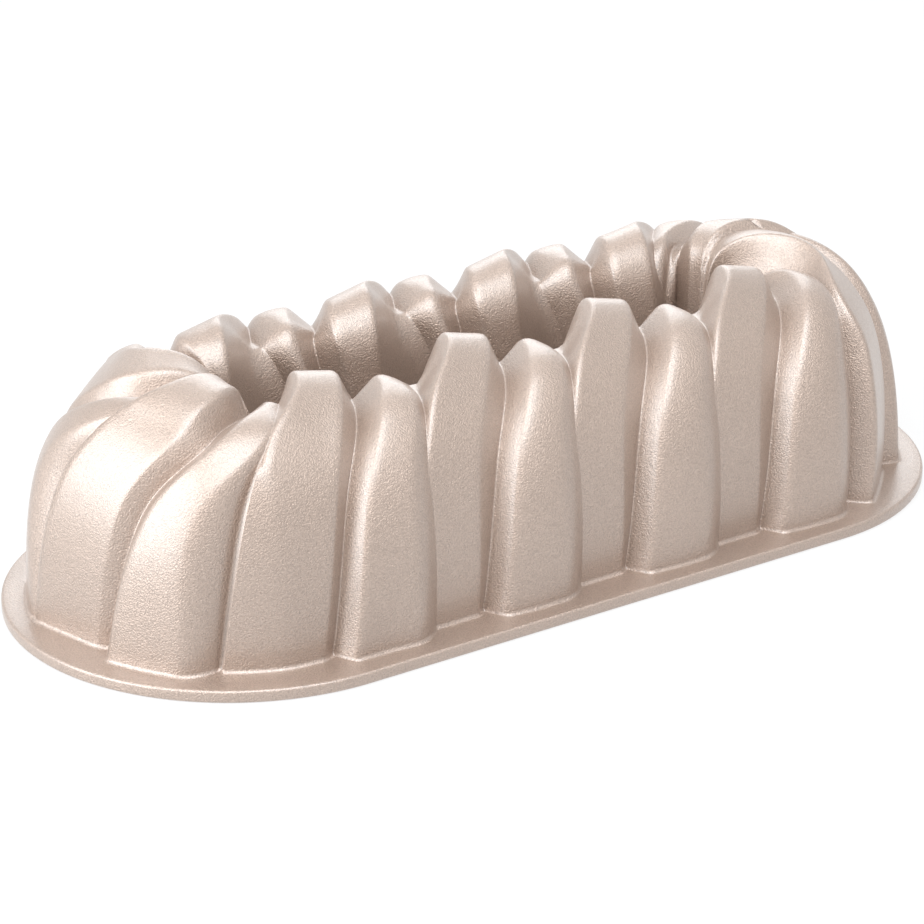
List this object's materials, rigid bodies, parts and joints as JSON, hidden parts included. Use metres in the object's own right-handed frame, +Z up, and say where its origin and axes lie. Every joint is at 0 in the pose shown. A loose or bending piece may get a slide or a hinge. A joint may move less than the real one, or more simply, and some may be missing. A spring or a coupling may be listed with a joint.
{
  "type": "babka pan",
  "caption": "Long cast babka pan with a fluted ring-shaped baking cavity, an open centre well and a flat rim that it stands on.",
  "frame": {"origin": "on the table plane under the middle of the pan, with the rim down and the crest up", "axes": "+X along the pan, +Y across it, +Z up from the rim to the crest"},
  "size_m": [0.3663, 0.165, 0.0903],
  "materials": {
    "champagne_coated_aluminium": "satin champagne coating with a fine sandy grain"
  },
  "bodies": {
    "root": {"pan_casting": "champagne_coated_aluminium"}
  },
  "joints": []
}
